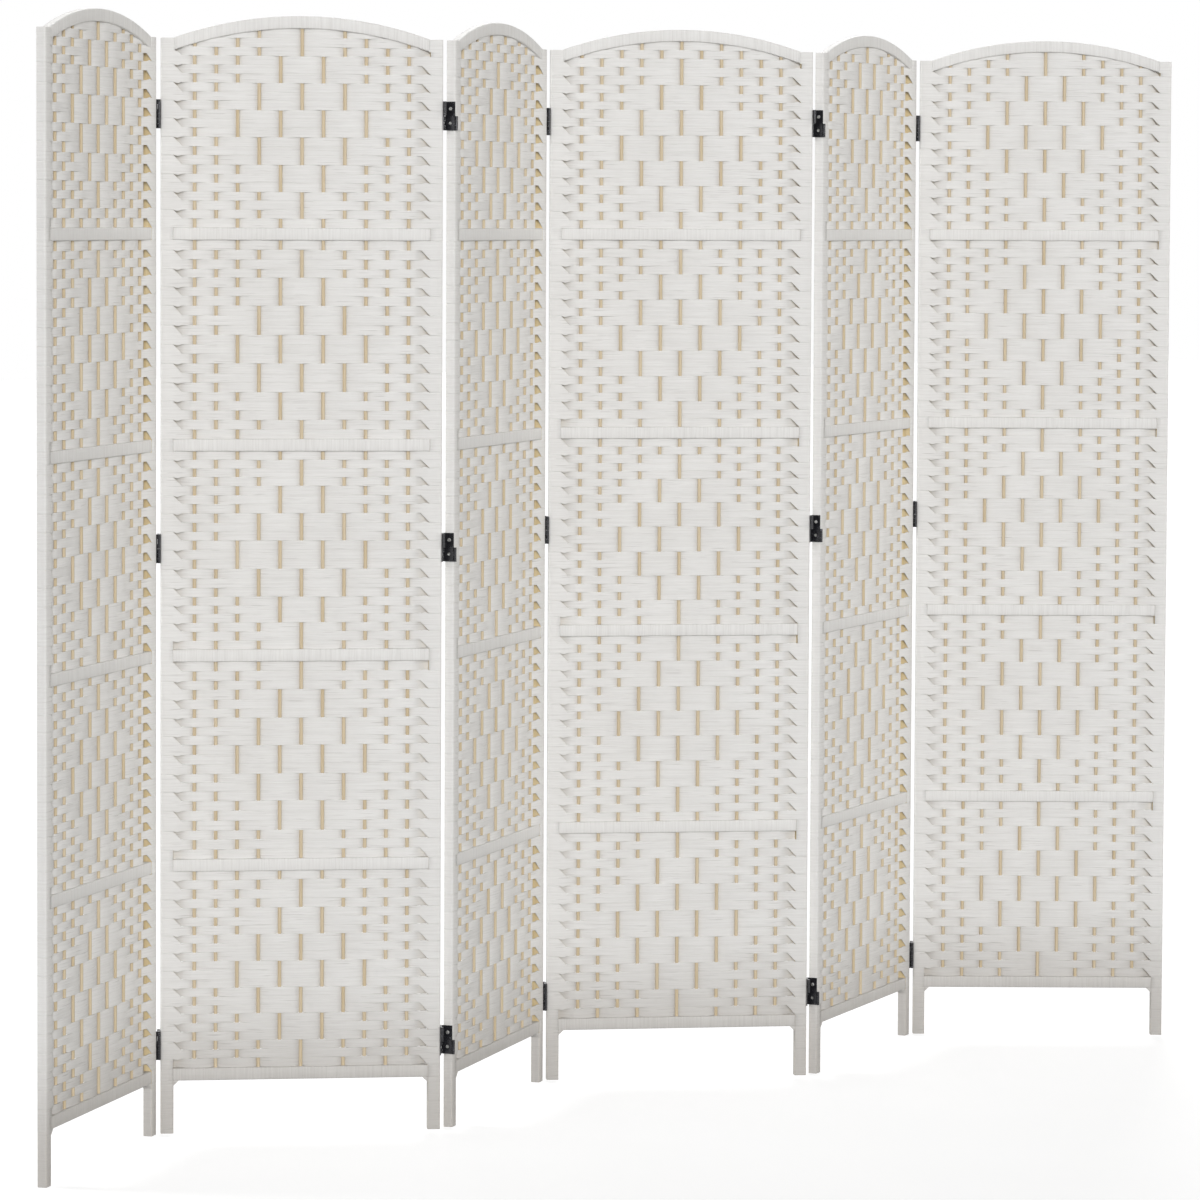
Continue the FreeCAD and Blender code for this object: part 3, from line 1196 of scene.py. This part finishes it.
@dataclass
class Panel:
    """One panel of the screen, from its frame to its hinges."""

    seat: PanelSeat
    finishes: Finishes
    ends: Sequence[tuple[int, int]]

    def dress_nodes(self) -> None:
        """Gives the CAD nodes that stay in sight their finishes."""
        coats = {
            "left_stile": self.finishes.stile,
            "right_stile": self.finishes.stile,
            "rods": self.finishes.rod,
            "hinge_leaves": self.finishes.hinge,
            "hinge_links": self.finishes.hinge,
            "hinge_pins": self.finishes.hinge,
            "hinge_screws": self.finishes.screw,
        }
        for kind, material in coats.items():
            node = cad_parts.get(self.seat.node(kind))
            if node is not None:
                node.data.materials.clear()
                node.data.materials.append(material)
                LOG.info("%s finished as %s", node.name, material.name)

    def build(self) -> None:
        """Builds and dresses the panel."""
        self.dress_nodes()
        for index, (lead, tail) in enumerate(self.ends):
            WovenSection(self.seat, self.finishes, index, DiamondPattern(lead, tail)).build()
        for edge in Edge:
            StileWinding(self.seat, self.finishes, edge).build()
        BarWinding(self.seat, self.finishes).build()


@dataclass(frozen=True)
class PhotoCamera:
    """The camera of the photograph: far off, a little above the middle of the screen's height."""

    place: tuple[float, float, float] = (-4.932, -6.418, 1.479)
    heading_degrees: float = 37.537
    dip_degrees: float = 2.875
    roll_degrees: float = 0.273
    focal_pixels: float = 4838.0
    frame_pixels: float = 1200.0
    sensor: float = 36.0
    shift_up: float = -0.12

    def build(self) -> None:
        """Makes the camera and looks through it."""
        lens = bpy.data.cameras.new("photo_camera")
        lens.sensor_width = self.sensor
        lens.lens = self.focal_pixels / self.frame_pixels * self.sensor
        lens.shift_y = self.shift_up
        camera = show("photo_camera", lens)
        heading = Matrix.Rotation(-math.radians(self.heading_degrees), 4, "Z")
        pitch = Matrix.Rotation(math.radians(90 - self.dip_degrees), 4, "X")
        roll = Matrix.Rotation(math.radians(self.roll_degrees), 4, "Z")
        camera.matrix_world = Matrix.Translation(self.place) @ heading @ pitch @ roll
        bpy.context.scene.camera = camera


@dataclass(frozen=True)
class SoftLamp:
    """A soft lamp, far off, whose side is counted from the screen's front towards its left."""

    name: str
    side_degrees: float
    height_degrees: float
    level: float
    spread_degrees: float = 16.0
    colour: tuple[float, ...] = WHITE[:3]

    def build(self) -> None:
        """Hangs the lamp."""
        lamp = bpy.data.lights.new(self.name, "SUN")
        lamp.energy = math.pi * self.level
        lamp.color = self.colour
        lamp.angle = math.radians(self.spread_degrees)
        tilt = math.radians(90 - self.height_degrees)
        show(self.name, lamp).rotation_euler = (tilt, 0.0, -math.radians(self.side_degrees))


@dataclass(frozen=True)
class Studio:
    """Floor, soft lamps and surround."""

    floor_size: float = 60.0
    surround: float = 0.1
    lamps: tuple[SoftLamp, ...] = (
        SoftLamp("front_lamp", 33.0, 10.0, 0.54),
        SoftLamp("left_front_lamp", 56.0, 14.0, 0.35, 80.0),
        SoftLamp("right_front_lamp", -48.0, 10.0, 0.33, 30.0, WARM_LIGHT),
        SoftLamp("left_back_lamp", 140.0, 35.0, 0.5),
        SoftLamp("right_back_lamp", -140.0, 35.0, 0.5),
    )

    def floor(self) -> None:
        """Lays the floor."""
        half = self.floor_size / 2
        mesh = bpy.data.meshes.new("studio_floor")
        corners = [(-half, -half, 0.0), (half, -half, 0.0), (half, half, 0.0), (-half, half, 0.0)]
        mesh.from_pydata(corners, [], [(0, 1, 2, 3)])
        mesh.materials.append(FloorFinish("studio_floor").build())
        floor = show("studio_floor", mesh)

    def world(self) -> None:
        """Surrounds the scene with soft light that looks white to the camera."""
        world = bpy.data.worlds.new("studio_surround")
        world.use_nodes = True
        bench = Bench(world.node_tree)
        soft = bench.make("ShaderNodeBackground", {"Color": WHITE, "Strength": self.surround})
        bright = bench.make("ShaderNodeBackground", {"Color": WHITE, "Strength": 1.0})
        inputs = {0: bench.seen_directly(), 1: soft.outputs[0], 2: bright.outputs[0]}
        shader = bench.make("ShaderNodeMixShader", inputs).outputs[0]
        bench.make("ShaderNodeOutputWorld", {"Surface": shader})
        bpy.context.scene.world = world

    def build(self) -> None:
        """Sets up the studio."""
        bpy.context.scene.view_settings.view_transform = "Standard"
        self.floor()
        for lamp in self.lamps:
            lamp.build()
        self.world()
        PhotoCamera().build()


# Rows above and below the diamond in each section of a panel, from its bottom section to its top one
SECTION_ENDS = {
    1: ((1, 0), (1, 2), (1, 0), (1, 0), (-1, 2)),
    2: ((1, 0), (0, 0), (1, 0), (1, -1), (0, 1)),
    3: ((1, 0), (1, 1), (1, 0), (1, 0), (3, -2)),
    4: ((0, 0), (0, 1), (2, 0), (1, 0), (2, -1)),
    5: ((1, 0), (-1, 2), (0, 1), (1, 0), (-1, 2)),
    6: ((0, 0), (0, 1), (0, 1), (0, 1), (0, 1)),
}


def main() -> None:
    """Dresses the panels one by one and sets up the studio."""
    logging.basicConfig(level=logging.INFO, format="%(message)s")
    finishes = Finishes.make()
    for number, ends in SECTION_ENDS.items():
        Panel(PanelSeat.read(number), finishes, ends).build()
    Studio().build()


if __name__ == "__main__":
    main()
